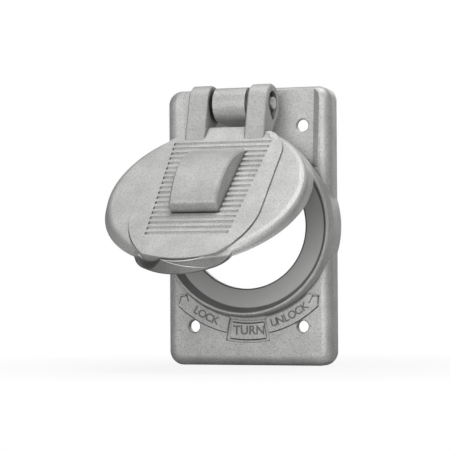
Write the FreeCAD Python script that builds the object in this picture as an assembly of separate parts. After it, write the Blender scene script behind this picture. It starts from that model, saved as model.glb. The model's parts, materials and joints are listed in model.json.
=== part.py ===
"""Single-gang weatherproof lift cover, shown with its lid lifted.

A die-cast cover plate with a raised round collar carries a knuckle near its top edge. A round
lid with two hinge ears turns on a pin through that knuckle, and a rubber ring in the lid closes
on the collar. Millimetres; X to the right, Y into the wall, Z up. The pieces are drawn with the
origin on the axis of the opening, in the plane of the plate's back rim, and written with it at
the inner end of the screw holes, in the plane of the face's inner side.
"""
import FreeCAD, Part
import math
import os
from FreeCAD import Vector

# Cover plate
PLATE_WIDTH = 72.2
PLATE_HEIGHT = 115.9
PLATE_DEPTH = 10.3
PLATE_CORNER_R = 6.0
PLATE_EDGE_R = 4.2
PLATE_WALL = 2.6
FACE_THICKNESS = 3.2
SCREW_SPACING_X = 47.9
SCREW_SPACING_Z = 83.3
SCREW_HOLE_R = 2.5
SCREW_EDGE_BREAK = 0.45

# Stepped-back land behind the hinge
LAND_STEP = 1.2
LAND_HALF_TOP = 29.2
LAND_HALF_BOTTOM = 28.2
LAND_SLOPE = 2.6

# Collar, seat ledge and opening
COLLAR_R = 37.8
COLLAR_FRONT_R = 37.2
COLLAR_HEIGHT = 5.6
COLLAR_MOUTH_R = 35.9
COLLAR_LIP_BREAK = 0.5
SEAT_R = 33.9
SEAT_DEPTH = 4.15
SEAT_THICKNESS = 2.4
OPENING_R = 25.95

# Low relief on the lower face
BAND_INNER_R = 38.6
BAND_OUTER_R = 45.0
BAND_START_DEG = 12.0
BAND_END_DEG = 43.0
BAND_TIP_DEG = 47.5
BAND_TIP_R = 42.3
BAND_HEIGHT = 0.35
PLAQUE_INNER_R = 39.1
PLAQUE_OUTER_R = 48.5
PLAQUE_HALF_DEG = 11.6
PLAQUE_GROOVE = 1.5
PLAQUE_GROOVE_DEPTH = 0.5

# Hinge
HINGE_Y = -26.3
HINGE_ABOVE_COLLAR = 11.9
KNUCKLE_R = 6.9
KNUCKLE_LENGTH = 13.9
KNUCKLE_NECK_DROP = 1.2
PIN_R = 2.6
PIN_STAND_OUT = 0.8
PIN_CHAMFER = 0.5
PIN_RUNNING_CLEARANCE = 0.05
PIN_SEAT_CLEARANCE = 0.01
EAR_R = 8.05
EAR_THICKNESS = 8.4
EAR_GAP = 1.6
EAR_EDGE_BREAK = 0.5
EAR_FOOT = 19.5
POCKET_R = 5.2
POCKET_DEPTH = 2.2
POCKET_SLOT_REACH = 6.8
POCKET_SLOT_END_R = 1.9
POCKET_SLOT_DEG = 48.0
WASHER_R = 4.7
WASHER_BORE_R = 2.75
WASHER_SHEET = 0.5
WASHER_CLEARANCE = 0.06

# Lid, sized in its closed position; its top slopes towards the wall at the free edge
LID_LIFT_DEG = 49.8
LID_SLOPE_DEG = 2.0
LID_OVERHANG = 4.9
LID_TOP_INSET = 0.9
LID_DEPTH = 7.2
LID_OFFSET = 2.1
LID_EDGE_R = 3.0
LID_EDGE_BANDS = 5
LID_FLARE_DEG = 33.0
LID_TUCK = 1.2
LID_WALL = 2.6
LID_SEAL_SLACK = 0.6
LID_BASE_CLEARANCE = 0.2
PANEL_DROP = 2.8
PANEL_STEP = 0.8
PANEL_HALF_WIDTH = 26.8
PANEL_TOP = 14.8
PANEL_TOP_CORNER_R = 13.5
PANEL_SIDE_END = 62.5
PANEL_SHOULDER_X = 23.3
PANEL_SHOULDER = 77.8
PANEL_NOSE_X = 15.0
PANEL_NOSE = 91.4
PANEL_NOSE_R = 41.8
WEB_EDGE = 10.5
WEB_WALL = 1.8
WEB_EDGE_R = 1.2

# Grip lip at the lid's free edge
LIP_FRONT = 96.5
LIP_HALF_WIDTH = 20.2
LIP_FOOT = 85.0
LIP_SHOULDER_X = 18.3
LIP_SHOULDER = 89.2
LIP_CORNER_X = 13.4
LIP_CORNER = 93.1
LIP_STEP = 0.9
LIP_LEDGE = 1.0
LIP_BEVEL_DROP = 2.6
DISH_R = 10.0
DISH_X = -14.3
DISH_PLACE = 92.6
DISH_CENTRE_RISE = 3.15

# Thumb hump and cross ribs
HUMP_START = 26.0
HUMP_END = 64.5
HUMP_CROWN = 45.2
HUMP_CROWN_RISE = 8.1
HUMP_END_RISE = 4.7
HUMP_HALF_START = 11.6
HUMP_HALF_END = 9.8
HUMP_NOSE_R = 1.6
HUMP_SIDE_BREAK = 0.8
RIB_PITCH = 3.07
RIB_COUNT = 19
RIB_FIRST = 21.6
RIB_HALF_START = 20.9
RIB_HALF_END = 17.2
RIB_GROOVE_WIDTH = 1.7
RIB_GROOVE_DEPTH = 0.7

# Seals
LID_SEAL_WIDTH = 5.8
LID_SEAL_THICKNESS = 2.0
SEAL_CLEARANCE = 0.15
BOX_SEAL_THICKNESS = 1.6
BOX_SEAL_INSET = 0.8
BOX_SEAL_WIDTH = 4.4

# Worked out from the sizes above
FACE_Y = -PLATE_DEPTH
LAND_Y = FACE_Y + LAND_STEP
COLLAR_FRONT_Y = FACE_Y - COLLAR_HEIGHT
SEAT_Y = COLLAR_FRONT_Y + SEAT_DEPTH
HINGE_Z = COLLAR_R + HINGE_ABOVE_COLLAR
EAR_INNER_X = KNUCKLE_LENGTH / 2 + EAR_GAP
EAR_OUTER_X = EAR_INNER_X + EAR_THICKNESS
LID_R = COLLAR_FRONT_R + LID_OVERHANG
LID_TOP_R = LID_R - LID_TOP_INSET
LID_HOLLOW_R = LID_R - LID_WALL
LID_SEAL_R = LID_HOLLOW_R - LID_SEAL_SLACK
LID_BASE_Y = COLLAR_FRONT_Y - LID_BASE_CLEARANCE
LID_CEILING_Y = COLLAR_FRONT_Y - SEAL_CLEARANCE - LID_SEAL_THICKNESS
DISC_TOP = -PANEL_DROP - PANEL_STEP
INNER_FACE_Y = FACE_Y + FACE_THICKNESS
RIB_LAST = RIB_FIRST + RIB_PITCH * (RIB_COUNT - 1)

# How far cuts run past a face, and how near an edge lies to the place it is picked by
OVERCUT = 1.0
SAME_PLACE = 1e-3


def cylinder_y(radius, y_front, y_back, x=0.0, z=0.0):
    """A round bar along Y between two depths."""
    return Part.makeCylinder(radius, y_back - y_front, Vector(x, y_front, z), Vector(0, 1, 0))


def cylinder_x(radius, x_start, x_end, y=HINGE_Y, z=HINGE_Z):
    """A round bar along X, by default on the hinge axis."""
    return Part.makeCylinder(radius, x_end - x_start, Vector(x_start, y, z), Vector(1, 0, 0))


def box(x, y, z):
    """A block between the lower and upper bounds given as three pairs."""
    return Part.makeBox(x[1] - x[0], y[1] - y[0], z[1] - z[0], Vector(x[0], y[0], z[0]))


def face_of(edges):
    """A flat face inside a closed run of edges."""
    return Part.Face(Part.Wire(Part.__sortEdges__(edges)))


def line(a, b):
    """A straight edge."""
    return Part.makeLine(a, b)


def arc(a, middle, b):
    """A circular edge through three points."""
    return Part.Arc(a, middle, b).toShape()


def polygon(points):
    """A flat face with straight sides."""
    return Part.Face(Part.makePolygon(list(points) + [points[0]]))


def fuse(first, *others):
    """One body from touching bodies."""
    return first.fuse(list(others)).removeSplitter()


def rounded_rectangle(width, height, corner, y_front, y_back):
    """A block with its long edges rounded, lying in the plane of the wall."""
    block = box((-width / 2, width / 2), (y_front, y_back), (-height / 2, height / 2))
    upright = [e for e in block.Edges if abs(e.BoundBox.YLength - (y_back - y_front)) < SAME_PLACE]
    return block.makeFillet(corner, upright)


def polar(radius, degrees, y):
    """A point on the plate's face, by radius and by angle to the right of straight down."""
    turn = math.radians(degrees)
    return Vector(radius * math.sin(turn), y, -radius * math.cos(turn))


def screw_positions():
    """The four screw centres as (x, z)."""
    half_x = SCREW_SPACING_X / 2
    half_z = SCREW_SPACING_Z / 2
    return [(x, z) for x in (-half_x, half_x) for z in (-half_z, half_z)]


# Cover plate

def plate_slab():
    """The outer block of the plate with its rolled front edge."""
    slab = rounded_rectangle(PLATE_WIDTH, PLATE_HEIGHT, PLATE_CORNER_R, FACE_Y, 0.0)
    front = [e for e in slab.Edges if e.BoundBox.YMax < FACE_Y + SAME_PLACE]
    return slab.makeFillet(PLATE_EDGE_R, front)


def land_cut():
    """The wedge-sided cut that steps the face back between the two upper side rails."""
    low = math.sqrt(COLLAR_R ** 2 - LAND_HALF_BOTTOM ** 2) - OVERCUT
    high = PLATE_HEIGHT / 2 + OVERCUT

    def section(z, half):
        grow = LAND_SLOPE * (LAND_STEP + OVERCUT) / LAND_STEP
        front = FACE_Y - OVERCUT
        corners = [Vector(-half, LAND_Y, z), Vector(half, LAND_Y, z),
                   Vector(half + grow, front, z), Vector(-half - grow, front, z)]
        return Part.makePolygon(corners + [corners[0]])

    return Part.makeLoft([section(low, LAND_HALF_BOTTOM), section(high, LAND_HALF_TOP)], True, True)


def collar_body():
    """The collar as one turned shape, standing from the back rim to its front lip."""
    front = COLLAR_FRONT_Y
    edge = COLLAR_LIP_BREAK
    edges = [line(Vector(0, 0, 0), Vector(COLLAR_R, 0, 0)),
             line(Vector(COLLAR_R, 0, 0), Vector(COLLAR_R, FACE_Y, 0)),
             line(Vector(COLLAR_R, FACE_Y, 0), Vector(COLLAR_FRONT_R, front + edge, 0)),
             line(Vector(COLLAR_FRONT_R, front + edge, 0), Vector(COLLAR_FRONT_R - edge, front, 0)),
             line(Vector(COLLAR_FRONT_R - edge, front, 0), Vector(0, front, 0)),
             line(Vector(0, front, 0), Vector(0, 0, 0))]
    return face_of(edges).revolve(Vector(0, 0, 0), Vector(0, 1, 0), 360)


def collar_mouth():
    """The tapered recess in the collar that ends at the seat ledge."""
    return Part.makeCone(COLLAR_MOUTH_R, SEAT_R, SEAT_DEPTH, Vector(0, COLLAR_FRONT_Y, 0), Vector(0, 1, 0))


def back_hollow():
    """The open back of the casting, inside its walls and behind its ledge."""
    hollow = rounded_rectangle(PLATE_WIDTH - 2 * PLATE_WALL, PLATE_HEIGHT - 2 * PLATE_WALL,
                               PLATE_CORNER_R - PLATE_WALL, INNER_FACE_Y, OVERCUT)
    drum = cylinder_y(COLLAR_R - PLATE_WALL, SEAT_Y + SEAT_THICKNESS, OVERCUT)
    return hollow.fuse(drum)


def relief_sector(inner_r, outer_r, start_deg, end_deg, height):
    """A slab on the lower face between two radii and two angles."""
    y = FACE_Y
    middle_deg = (start_deg + end_deg) / 2
    edges = [arc(polar(inner_r, start_deg, y), polar(inner_r, middle_deg, y), polar(inner_r, end_deg, y)),
             line(polar(inner_r, end_deg, y), polar(outer_r, end_deg, y)),
             arc(polar(outer_r, end_deg, y), polar(outer_r, middle_deg, y), polar(outer_r, start_deg, y)),
             line(polar(outer_r, start_deg, y), polar(inner_r, start_deg, y))]
    return face_of(edges).extrude(Vector(0, -height, 0))


def arrow_band(side):
    """A raised band that runs up round the collar from the plaque and ends in an arrow point."""
    band = relief_sector(BAND_INNER_R, BAND_OUTER_R, BAND_START_DEG, BAND_END_DEG, BAND_HEIGHT)
    point = polygon([polar(BAND_INNER_R, BAND_END_DEG, FACE_Y), polar(BAND_TIP_R, BAND_TIP_DEG, FACE_Y),
                     polar(BAND_OUTER_R, BAND_END_DEG, FACE_Y)]).extrude(Vector(0, -BAND_HEIGHT, 0))
    band = band.fuse(point)
    if side < 0:
        band = band.mirror(Vector(0, 0, 0), Vector(1, 0, 0))
    return band


def plaque_groove():
    """The groove that frames the small panel at the foot of the collar."""
    rim_deg = math.degrees(PLAQUE_GROOVE / PLAQUE_OUTER_R)
    frame = relief_sector(PLAQUE_INNER_R, PLAQUE_OUTER_R, -PLAQUE_HALF_DEG, PLAQUE_HALF_DEG,
                          PLAQUE_GROOVE_DEPTH + OVERCUT)
    field = relief_sector(PLAQUE_INNER_R + PLAQUE_GROOVE, PLAQUE_OUTER_R - PLAQUE_GROOVE,
                          -PLAQUE_HALF_DEG + rim_deg, PLAQUE_HALF_DEG - rim_deg, PLAQUE_GROOVE_DEPTH + OVERCUT)
    return frame.cut(field).translated(Vector(0, PLAQUE_GROOVE_DEPTH, 0))


def knuckle():
    """The hinge barrel and the neck that joins it to the stepped-back land."""
    half = KNUCKLE_LENGTH / 2
    barrel = cylinder_x(KNUCKLE_R, -half, half)
    root = LAND_Y + OVERCUT
    top = HINGE_Z + KNUCKLE_R
    corners = [Vector(-half, HINGE_Y, top), Vector(-half, root, top),
               Vector(-half, root, HINGE_Z - KNUCKLE_R - KNUCKLE_NECK_DROP),
               Vector(-half, HINGE_Y, HINGE_Z - KNUCKLE_R)]
    neck = polygon(corners).extrude(Vector(KNUCKLE_LENGTH, 0, 0))
    return barrel.fuse(neck).removeSplitter()


def screw_hole(x, z):
    """A clear hole through the face with its front edge broken."""
    bore = cylinder_y(SCREW_HOLE_R, FACE_Y - OVERCUT, OVERCUT, x, z)
    face = LAND_Y if z > 0 else FACE_Y
    mouth = Part.makeCone(SCREW_HOLE_R + SCREW_EDGE_BREAK, SCREW_HOLE_R, SCREW_EDGE_BREAK,
                          Vector(x, face, z), Vector(0, 1, 0))
    return bore.fuse(mouth)


def cover_plate():
    """The die-cast plate, one piece with its collar, ledge, knuckle and low relief."""
    body = plate_slab().cut(land_cut())
    body = fuse(body, collar_body())
    body = body.cut(back_hollow())
    body = body.cut(collar_mouth())
    body = body.cut(cylinder_y(OPENING_R, COLLAR_FRONT_Y, OVERCUT))
    body = fuse(body, knuckle(), arrow_band(-1), arrow_band(1)).cut(plaque_groove())
    for x, z in screw_positions():
        body = body.cut(screw_hole(x, z))
    reach = KNUCKLE_LENGTH / 2 + OVERCUT
    return body.cut(cylinder_x(PIN_R + PIN_RUNNING_CLEARANCE, -reach, reach))


# Lid. Its top is drawn upright: drop runs down from the hinge axis, rise runs out from it

def at(x, drop, rise):
    """A point on the lid while its top stands parallel with the wall."""
    return Vector(x, HINGE_Y - rise, HINGE_Z - drop)


OUTWARD = Vector(0, -1, 0)
INWARD = Vector(0, 1, 0)


def swung(shape, degrees):
    """The shape turned about the hinge axis, outwards and up for positive degrees."""
    moved = shape.copy()
    moved.rotate(Vector(0, HINGE_Y, HINGE_Z), Vector(1, 0, 0), -degrees)
    return moved


def turned(centre, profile):
    """A body turned from (radius, rise) corners about an axis square to the lid at a given drop."""
    points = [at(radius, centre, rise) for radius, rise in profile]
    return polygon(points).revolve(at(0, centre, 0), INWARD, 360)


def lid_disc():
    """The round blank of the lid: a flat top, an edge rolled in narrow bands and a flaring wall.

    The foot of the wall is a wider round than the top and sits nearer the hinge, so the wall is
    what two cones about the two centres share.
    """
    top_centre = HINGE_Z
    foot_centre = HINGE_Z - LID_OFFSET
    waist = DISC_TOP - LID_EDGE_R
    deep = DISC_TOP - LID_DEPTH
    flare = (waist - deep) * math.tan(math.radians(LID_FLARE_DEG))
    turns = [math.radians(90 * step / LID_EDGE_BANDS) for step in range(LID_EDGE_BANDS + 1)]
    roll = [(LID_TOP_R - LID_EDGE_R * (1 - math.sin(turn)), waist + LID_EDGE_R * math.cos(turn))
            for turn in turns]
    cap = turned(top_centre, [(0, DISC_TOP)] + roll + [(0, waist)])
    leaning = turned(top_centre, [(0, waist), (LID_TOP_R, waist), (LID_TOP_R + flare, deep), (0, deep)])
    tucked = turned(foot_centre, [(0, waist), (LID_R + LID_TUCK, waist), (LID_R, deep), (0, deep)])
    return fuse(cap, leaning.common(tucked))


def panel():
    """The raised panel: round upper corners, straight sides, round shoulders and a curved nose."""
    rise = -PANEL_DROP
    half = PANEL_HALF_WIDTH
    corner = PANEL_TOP_CORNER_R
    cut = corner * (1 - math.sqrt(0.5))
    sag = PANEL_NOSE_R - math.sqrt(PANEL_NOSE_R ** 2 - PANEL_NOSE_X ** 2)
    nose = PANEL_NOSE - sag
    edges = [line(at(corner - half, PANEL_TOP, rise), at(half - corner, PANEL_TOP, rise)),
             arc(at(half - corner, PANEL_TOP, rise), at(half - cut, PANEL_TOP + cut, rise),
                 at(half, PANEL_TOP + corner, rise)),
             line(at(half, PANEL_TOP + corner, rise), at(half, PANEL_SIDE_END, rise)),
             arc(at(half, PANEL_SIDE_END, rise), at(PANEL_SHOULDER_X, PANEL_SHOULDER, rise),
                 at(PANEL_NOSE_X, nose, rise)),
             arc(at(PANEL_NOSE_X, nose, rise), at(0, PANEL_NOSE, rise), at(-PANEL_NOSE_X, nose, rise)),
             arc(at(-PANEL_NOSE_X, nose, rise), at(-PANEL_SHOULDER_X, PANEL_SHOULDER, rise),
                 at(-half, PANEL_SIDE_END, rise)),
             line(at(-half, PANEL_SIDE_END, rise), at(-half, PANEL_TOP + corner, rise)),
             arc(at(-half, PANEL_TOP + corner, rise), at(cut - half, PANEL_TOP + cut, rise),
                 at(corner - half, PANEL_TOP, rise))]
    return face_of(edges).extrude(INWARD * (PANEL_STEP + LID_EDGE_R))


def web():
    """The flat land that carries the panel up between the ears."""
    rise = -PANEL_DROP
    wide = EAR_INNER_X + EAR_THICKNESS / 2
    block = box((-wide, wide), (HINGE_Y - rise, HINGE_Y - rise + PANEL_STEP + LID_EDGE_R),
                (HINGE_Z - EAR_FOOT, HINGE_Z - WEB_EDGE))
    return block


def grip_lip():
    """The grip lip past the lid's free edge, stepped down from the panel's nose."""
    low = DISC_TOP - LID_DEPTH
    back = HINGE_Z
    edges = [line(at(-LIP_HALF_WIDTH, back, low), at(-LIP_HALF_WIDTH, LIP_FOOT, low)),
             arc(at(-LIP_HALF_WIDTH, LIP_FOOT, low), at(-LIP_SHOULDER_X, LIP_SHOULDER, low),
                 at(-LIP_CORNER_X, LIP_CORNER, low)),
             arc(at(-LIP_CORNER_X, LIP_CORNER, low), at(0, LIP_FRONT, low), at(LIP_CORNER_X, LIP_CORNER, low)),
             arc(at(LIP_CORNER_X, LIP_CORNER, low), at(LIP_SHOULDER_X, LIP_SHOULDER, low),
                 at(LIP_HALF_WIDTH, LIP_FOOT, low)),
             line(at(LIP_HALF_WIDTH, LIP_FOOT, low), at(LIP_HALF_WIDTH, back, low)),
             line(at(LIP_HALF_WIDTH, back, low), at(-LIP_HALF_WIDTH, back, low))]
    top = -PANEL_DROP - LIP_STEP
    blank = face_of(edges).extrude(OUTWARD * (top - low))
    sag = LIP_FRONT - LIP_CORNER
    nose_r = (LIP_CORNER_X ** 2 + sag ** 2) / (2 * sag)
    centre = LIP_FRONT - nose_r
    ledge_r = PANEL_NOSE + LIP_LEDGE - centre
    foot_r = nose_r + (nose_r - ledge_r) * (top - LIP_BEVEL_DROP - low) / LIP_BEVEL_DROP
    leaning = turned(centre, [(0, low), (foot_r, low), (ledge_r, top), (0, top)])
    root = box((-LIP_HALF_WIDTH, LIP_HALF_WIDTH), (HINGE_Y - top, HINGE_Y - low),
               (HINGE_Z - centre, HINGE_Z - back + OVERCUT))
    return blank.common(leaning.fuse(root)).cut(thumb_dish())


def thumb_dish():
    """The shallow round dish that takes the lip's left side down from the panel's edge."""
    ball = Part.makeSphere(DISH_R)
    ball.translate(at(DISH_X, DISH_PLACE, DISH_CENTRE_RISE))
    return ball


def ear(side):
    """One hinge ear: a round end about the pin and a straight front that runs down to the panel."""
    start = EAR_INNER_X if side > 0 else -EAR_OUTER_X
    rise = -PANEL_DROP
    root = DISC_TOP - LID_EDGE_R
    reach = math.hypot(EAR_FOOT, rise)
    touch = math.atan2(rise, EAR_FOOT) + math.acos(EAR_R / reach)
    back = math.radians(-90)
    mid = (touch + back + 2 * math.pi) / 2

    def p(angle):
        return at(start, EAR_R * math.cos(angle), EAR_R * math.sin(angle))
    edges = [arc(p(touch), p(mid), p(back)),
             line(p(back), at(start, WEB_EDGE, -EAR_R)),
             line(at(start, WEB_EDGE, -EAR_R), at(start, EAR_FOOT, root)),
             line(at(start, EAR_FOOT, root), at(start, EAR_FOOT, rise)),
             line(at(start, EAR_FOOT, rise), p(touch))]
    blank = face_of(edges).extrude(Vector(EAR_THICKNESS, 0, 0))
    broken = [e for e in blank.Edges if e.BoundBox.XLength < SAME_PLACE and e.BoundBox.YMin < HINGE_Y]
    return blank.makeChamfer(EAR_EDGE_BREAK, broken)


def pin_pocket(side):
    """The pear-shaped pocket round the pin's end in an ear's outer face."""
    turn = math.radians(POCKET_SLOT_DEG)
    reach = POCKET_SLOT_REACH - POCKET_SLOT_END_R
    start = EAR_OUTER_X - POCKET_DEPTH if side > 0 else -EAR_OUTER_X - OVERCUT
    length = POCKET_DEPTH + OVERCUT
    tip = at(start, reach * math.cos(turn), -reach * math.sin(turn))
    round_end = Part.makeCylinder(POCKET_R, length, at(start, 0, 0), Vector(1, 0, 0))
    narrow_end = Part.makeCylinder(POCKET_SLOT_END_R, length, tip, Vector(1, 0, 0))
    lean = math.acos((POCKET_R - POCKET_SLOT_END_R) / reach)
    sides = []
    for sign in (-1, 1):
        angle = -turn + sign * lean
        sides.append(at(start, POCKET_R * math.cos(angle), POCKET_R * math.sin(angle)))
        sides.append(tip + Vector(0, -POCKET_SLOT_END_R * math.sin(angle), -POCKET_SLOT_END_R * math.cos(angle)))
    wedge = polygon([sides[0], sides[1], sides[3], sides[2]]).extrude(Vector(length, 0, 0))
    return round_end.fuse([narrow_end, wedge])


def thumb_hump():
    """The hump on the panel: a long arched back, a steep nose and sides that close in."""
    rise = -PANEL_DROP
    base = rise - PANEL_STEP
    half = HUMP_HALF_START + OVERCUT
    start = at(-half, HUMP_START, rise)
    crown = at(-half, HUMP_CROWN, rise + HUMP_CROWN_RISE)
    end = at(-half, HUMP_END, rise + HUMP_END_RISE)
    edges = [line(at(-half, HUMP_START, base), start),
             arc(start, crown, end),
             line(end, at(-half, HUMP_END, base)),
             line(at(-half, HUMP_END, base), at(-half, HUMP_START, base))]
    ridge = face_of(edges).extrude(Vector(2 * half, 0, 0))
    plan = polygon([at(-HUMP_HALF_START, HUMP_START, base), at(-HUMP_HALF_END, HUMP_END, base),
                    at(HUMP_HALF_END, HUMP_END, base), at(HUMP_HALF_START, HUMP_START, base)])
    hump = ridge.common(plan.extrude(OUTWARD * (2 * HUMP_CROWN_RISE)))
    flanks = [e for e in hump.Edges
              if e.BoundBox.YLength > HUMP_END_RISE and e.BoundBox.ZLength > SAME_PLACE]
    hump = hump.makeChamfer(HUMP_SIDE_BREAK, flanks)
    at_end = [e for e in hump.Edges if abs(e.BoundBox.ZMin - (HINGE_Z - HUMP_END)) < SAME_PLACE
              and abs(e.BoundBox.ZMax - (HINGE_Z - HUMP_END)) < SAME_PLACE]
    nose = min(at_end, key=lambda e: (round(e.BoundBox.YMax, 3), -e.BoundBox.XLength))
    return hump.makeFillet(HUMP_NOSE_R, [nose])


def rib_groove(index):
    """One cross groove of the ribbed field, as long as the tapering field is wide there."""
    drop = RIB_FIRST + RIB_PITCH * index
    share = (drop - RIB_FIRST) / (RIB_LAST - RIB_FIRST)
    half = RIB_HALF_START + (RIB_HALF_END - RIB_HALF_START) * share
    wide = RIB_GROOVE_WIDTH / 2
    rise = -PANEL_DROP
    profile = face_of([arc(at(-half, drop - wide, rise), at(-half, drop, rise - RIB_GROOVE_DEPTH),
                           at(-half, drop + wide, rise)),
                       line(at(-half, drop + wide, rise), at(-half, drop + wide, rise + OVERCUT)),
                       line(at(-half, drop + wide, rise + OVERCUT), at(-half, drop - wide, rise + OVERCUT)),
                       line(at(-half, drop - wide, rise + OVERCUT), at(-half, drop - wide, rise))])
    return profile.extrude(Vector(2 * half, 0, 0))


def hinge_notch():
    """The notch between the ears that clears the knuckle's neck when the lid is shut."""
    top = HINGE_Y + PANEL_DROP
    notch = box((-EAR_INNER_X, EAR_INNER_X), (top - OVERCUT, top + LID_R), (HINGE_Z - WEB_EDGE, HINGE_Z))
    rolled = box((-EAR_INNER_X, EAR_INNER_X), (top - OVERCUT, top + WEB_EDGE_R),
                 (HINGE_Z - WEB_EDGE - WEB_EDGE_R, HINGE_Z - WEB_EDGE + OVERCUT))
    bar = cylinder_x(WEB_EDGE_R, -EAR_INNER_X, EAR_INNER_X, top + WEB_EDGE_R, HINGE_Z - WEB_EDGE - WEB_EDGE_R)
    return notch.fuse(rolled.cut(bar))


def behind_notch(gap):
    """The flat wall left behind the notch of the shut lid, grown by a gap."""
    wide = EAR_INNER_X + WEB_WALL + gap
    return box((-wide, wide), (LID_CEILING_Y - OVERCUT, LID_BASE_Y + 2 * OVERCUT),
               (HINGE_Z - WEB_EDGE - WEB_WALL - gap, HINGE_Z))


def lid_hollow():
    """The round hollow of the shut lid, flat where it passes behind the notch."""
    hollow = cylinder_y(LID_HOLLOW_R, LID_CEILING_Y, LID_BASE_Y + OVERCUT, 0, LID_OFFSET)
    return hollow.cut(behind_notch(0))


def trimmed(shape):
    """The shape leant to its shut position and cut off at the plane in which the lid's wall ends."""
    behind = box((-2 * LID_R, 2 * LID_R), (LID_BASE_Y, 2 * LID_R), (-3 * LID_R, 3 * LID_R))
    return swung(shape, -LID_SLOPE_DEG).cut(behind)


def lid():
    """The die-cast lid, one piece with its ears, panel, ribs, hump and grip lip."""
    body = fuse(trimmed(lid_disc()), trimmed(grip_lip()))
    body = fuse(swung(body, LID_SLOPE_DEG), panel(), web())
    body = body.cut([rib_groove(index) for index in range(RIB_COUNT)])
    body = fuse(body, ear(-1), ear(1), thumb_hump())
    body = body.cut(hinge_notch())
    body = swung(body, -LID_SLOPE_DEG).cut(lid_hollow())
    body = swung(body, LID_SLOPE_DEG)
    reach = EAR_OUTER_X + OVERCUT
    body = body.cut(cylinder_x(PIN_R + PIN_SEAT_CLEARANCE, -reach, reach))
    body = body.cut([pin_pocket(-1), pin_pocket(1)])
    return swung(body, LID_LIFT_DEG - LID_SLOPE_DEG)


# Hinge pin, washers and seals

def hinge_pin():
    """The pin, staked in both ears, with its ends just proud of them."""
    half = EAR_OUTER_X + PIN_STAND_OUT
    pin = cylinder_x(PIN_R, -half, half)
    ends = [e for e in pin.Edges if e.BoundBox.XLength < SAME_PLACE]
    return pin.makeChamfer(PIN_CHAMFER, ends)


def spring_washer(side):
    """A washer bowed across its width, which fills the gap between the knuckle and an ear."""
    thick = EAR_GAP - 2 * WASHER_CLEARANCE
    sheet = WASHER_SHEET
    bow = thick - sheet
    radius = (WASHER_R ** 2 + bow ** 2) / (2 * bow)
    near = KNUCKLE_LENGTH / 2 + WASHER_CLEARANCE
    centre_x = near + thick - radius
    reach = WASHER_R + OVERCUT

    def shell(r):
        return Part.makeCylinder(r, 2 * reach, Vector(centre_x, HINGE_Y - reach, HINGE_Z), Vector(0, 1, 0))
    ring = cylinder_x(WASHER_R, near, near + thick).cut(cylinder_x(WASHER_BORE_R, 0, 2 * EAR_OUTER_X))
    washer = shell(radius).cut(shell(radius - sheet)).common(ring)
    if side < 0:
        washer = washer.mirror(Vector(0, 0, 0), Vector(1, 0, 0))
    return washer


def lid_seal():
    """The flat rubber ring in the lid's hollow, which meets the collar's rim when the lid is shut."""
    rubber_back = COLLAR_FRONT_Y - SEAL_CLEARANCE
    inner = LID_SEAL_R - LID_SEAL_WIDTH
    ring = cylinder_y(LID_SEAL_R, LID_CEILING_Y, rubber_back, 0, LID_OFFSET)
    ring = ring.cut(cylinder_y(inner, LID_CEILING_Y - OVERCUT, rubber_back + OVERCUT, 0, LID_OFFSET))
    return swung(ring.cut(behind_notch(LID_SEAL_SLACK)), LID_LIFT_DEG)


def box_seal():
    """The frame-shaped gasket between the plate's back rim and the box."""
    thick = BOX_SEAL_THICKNESS
    width = PLATE_WIDTH - 2 * BOX_SEAL_INSET
    height = PLATE_HEIGHT - 2 * BOX_SEAL_INSET
    sheet = rounded_rectangle(width, height, PLATE_CORNER_R - BOX_SEAL_INSET, 0.0, thick)
    inside = rounded_rectangle(width - 2 * BOX_SEAL_WIDTH, height - 2 * BOX_SEAL_WIDTH,
                               PLATE_CORNER_R - PLATE_WALL, -OVERCUT, thick + OVERCUT)
    return sheet.cut(inside)


def build_parts():
    """Every piece in place, the lid and what it carries in the lifted pose."""
    return {
        "cover_plate": cover_plate(),
        "lid": lid(),
        "lid_seal": lid_seal(),
        "hinge_pin": hinge_pin(),
        "washer_left": spring_washer(-1),
        "washer_right": spring_washer(1),
        "box_seal": box_seal(),
    }


def main():
    """Write every piece, with the origin moved to the inner end of the screw holes."""
    os.makedirs("parts", exist_ok=True)
    for name, drawn in build_parts().items():
        shape = drawn.translated(Vector(0, -INNER_FACE_Y, 0))
        solids = shape.Solids
        print(name, "solids", len(solids), "valid", shape.isValid(), "volume", round(shape.Volume, 1))
        shape.exportStep(os.path.join("parts", name + ".step"))


main()
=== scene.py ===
"""Looks of a single-gang weatherproof lift cover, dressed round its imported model.

Metres; X to the right, Y into the wall, Z up, with the origin on the axis of the round opening, in
the plane where the screw holes end. The lid rests lifted. What lies on it is placed on the upright
lid, whose top is parallel with the wall: a drop runs down from the hinge axis, and a depth runs
from the axis towards the wall.
"""

import json
import logging
import math
from dataclasses import dataclass, field
from enum import Enum
from typing import Any

import bpy
from mathutils import Matrix, Vector


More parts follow.
